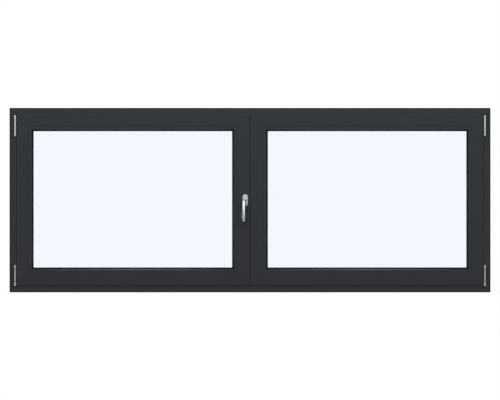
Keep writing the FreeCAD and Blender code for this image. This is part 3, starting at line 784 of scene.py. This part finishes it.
def hinge_screws():
    """One adjusting screw on top of each hinge, on the axis of its barrel."""
    finish = satin_silver("hinge_screw", SCREW_SILVER)
    places = {}
    for side in ("left", "right"):
        bearing_low, bearing_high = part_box(side + "_upper_hinge_bearing")
        axis_x = (bearing_low.x + bearing_high.x) / 2
        axis_y = bearing_low.y + (bearing_high.x - bearing_low.x) / 2
        for level, top_node in (("upper", "_upper_hinge_knuckle"), ("lower", "_lower_hinge_sleeve")):
            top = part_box(side + top_node)[1].z
            places[side + "_" + level + "_hinge_screw"] = Vector((axis_x, axis_y, top))
    first_name, first_place = next(iter(places.items()))
    first = hinge_screw(first_place)
    first.name = first_name
    first.data.materials.append(finish)
    for name, place in places.items():
        screw = first if name == first_name else copied_to(first, name, place - first_place)
        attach(screw, "window")


# Camera; the photograph's width, and the window's width and place in it, are in pixels

PHOTO_WIDTH_PX = 500
WINDOW_WIDTH_PX = 480.95
WINDOW_MIDDLE_BELOW_PX = 0.13
CAMERA_DISTANCE = 60.0
CAMERA_CLIP_END = 200.0
SENSOR_WIDTH = 36.0


def photo_camera():
    """Level camera straight in front, with the window where the photograph has it."""
    pixel = FRAME_WIDTH / WINDOW_WIDTH_PX
    height = WINDOW_MIDDLE + WINDOW_MIDDLE_BELOW_PX * pixel
    bpy.ops.object.camera_add(
        location=(0.0, FRAME_ROOM_Y - CAMERA_DISTANCE, height), rotation=(math.radians(90), 0.0, 0.0)
    )
    camera = bpy.context.object
    camera.name = "photo_camera"
    camera.data.sensor_width = SENSOR_WIDTH
    camera.data.lens = SENSOR_WIDTH * CAMERA_DISTANCE / (PHOTO_WIDTH_PX * pixel)
    camera.data.clip_end = CAMERA_CLIP_END
    bpy.context.scene.camera = camera


# Room, floor and lamps; the room's fades go by the x, y or z of a direction

WHITE = grey(1.0)
LOW_LIGHT = grey(0.5)
HIGH_LIGHT = grey(0.9)
HIGH_FADE = (-0.3, 0.5)
SIDE_LIGHT = grey(0.22)
SIDE_FADE = (0.25, 0.8)
OUTSIDE_LIGHT = grey(0.1)
OUTSIDE_FADE = (-0.05, 0.25)
BACKDROP_FADE = (0.35, 0.8)
FIRST_BOUNCE = 0.5
FLOOR_RADIUS = 4.0
FLOOR_SIDES = 96
FLOOR_DROP = 0.0005
FLOOR_TONE = grey(0.65)
FLOOR_WHITENESS = 0.975
Softbox = namedtuple("Softbox", "location size power")
SOFTBOXES = {
    "key_softbox": Softbox(location=(1.6, -4.4, 3.0), size=(3.4, 3.0), power=60.0),
    "fill_softbox": Softbox(location=(-1.9, -4.4, 3.0), size=(3.4, 3.0), power=50.5),
    "rear_softbox": Softbox(location=(1.2, 4.6, 2.9), size=(2.6, 1.6), power=150.0),
}


def seen_straight(tree, path):
    """1 for rays straight from the camera, through glass too, which show white without adding light."""
    bounces = sums(tree, "ADD", path.outputs["Diffuse Depth"], path.outputs["Glossy Depth"])
    straight = sums(tree, "LESS_THAN", bounces, FIRST_BOUNCE)
    through_glass = product(tree, path.outputs["Is Transmission Ray"], straight)
    return sums(tree, "MAXIMUM", path.outputs["Is Camera Ray"], through_glass)


def white_room():
    """World that shows as plain white, and lights the window from above and in front with darker sides."""
    world = bpy.data.worlds.new("white_room")
    bpy.context.scene.world = world
    world.use_nodes = True
    tree = world.node_tree
    x, y, z = parted(tree, tree.nodes.new("ShaderNodeTexCoord").outputs["Generated"])
    light = blended(tree, rising(tree, z, HIGH_FADE, smooth=True), LOW_LIGHT, HIGH_LIGHT)
    aside = rising(tree, sums(tree, "ABSOLUTE", x), SIDE_FADE, smooth=True)
    light = blended(tree, aside, light, SIDE_LIGHT)
    light = blended(tree, rising(tree, y, OUTSIDE_FADE, smooth=True), light, OUTSIDE_LIGHT)
    path = tree.nodes.new("ShaderNodeLightPath")
    glossy = path.outputs["Is Glossy Ray"]
    reflected = sums(tree, "GREATER_THAN", glossy, path.outputs["Is Transmission Ray"])
    mirrored = product(tree, reflected, rising(tree, y, BACKDROP_FADE, smooth=True))
    white = sums(tree, "MAXIMUM", seen_straight(tree, path), mirrored)
    tree.links.new(blended(tree, white, light, WHITE), tree.nodes["Background"].inputs["Color"])


def pale_floor():
    """White floor under the window that keeps a faint shadow."""
    floor_z = cad_low.z - FLOOR_DROP
    bpy.ops.mesh.primitive_circle_add(
        vertices=FLOOR_SIDES, radius=FLOOR_RADIUS, fill_type="NGON", location=(0.0, 0.0, floor_z)
    )
    floor = bpy.context.object
    floor.name = "floor"
    bpy.ops.object.transform_apply(location=True, rotation=True, scale=True)
    material, tree, shader = new_material("floor_white")
    set_inputs(shader, {"Base Color": (*FLOOR_TONE, 1.0), "Roughness": 1.0, "Specular IOR Level": 0.0})
    glow = tree.nodes.new("ShaderNodeEmission")
    set_inputs(glow, {"Strength": 1.0})
    path = tree.nodes.new("ShaderNodeLightPath")
    whiteness = spread(tree, seen_straight(tree, path), low=0.0, high=FLOOR_WHITENESS)
    mix = tree.nodes.new("ShaderNodeMixShader")
    tree.links.new(whiteness, mix.inputs["Fac"])
    tree.links.new(shader.outputs["BSDF"], mix.inputs[1])
    tree.links.new(glow.outputs["Emission"], mix.inputs[2])
    tree.links.new(mix.outputs["Shader"], tree.nodes["Material Output"].inputs["Surface"])
    floor.data.materials.append(material)


def softboxes():
    """Lamp panels that face the window's middle."""
    target = Vector((0.0, 0.0, WINDOW_MIDDLE))
    for name, softbox in SOFTBOXES.items():
        bpy.ops.object.light_add(type="AREA", location=softbox.location)
        lamp = bpy.context.object
        lamp.name = name
        lamp.rotation_euler = (target - Vector(softbox.location)).to_track_quat("-Z", "Y").to_euler()
        lamp.data.shape = "RECTANGLE"
        lamp.data.size, lamp.data.size_y = softbox.size
        lamp.data.energy = softbox.power
        lamp.visible_transmission = False


bpy.ops.object.select_all(action="DESELECT")
dress_nodes()
hinge_screws()
photo_camera()
white_room()
pale_floor()
softboxes()
bpy.context.scene.view_settings.view_transform = "Standard"
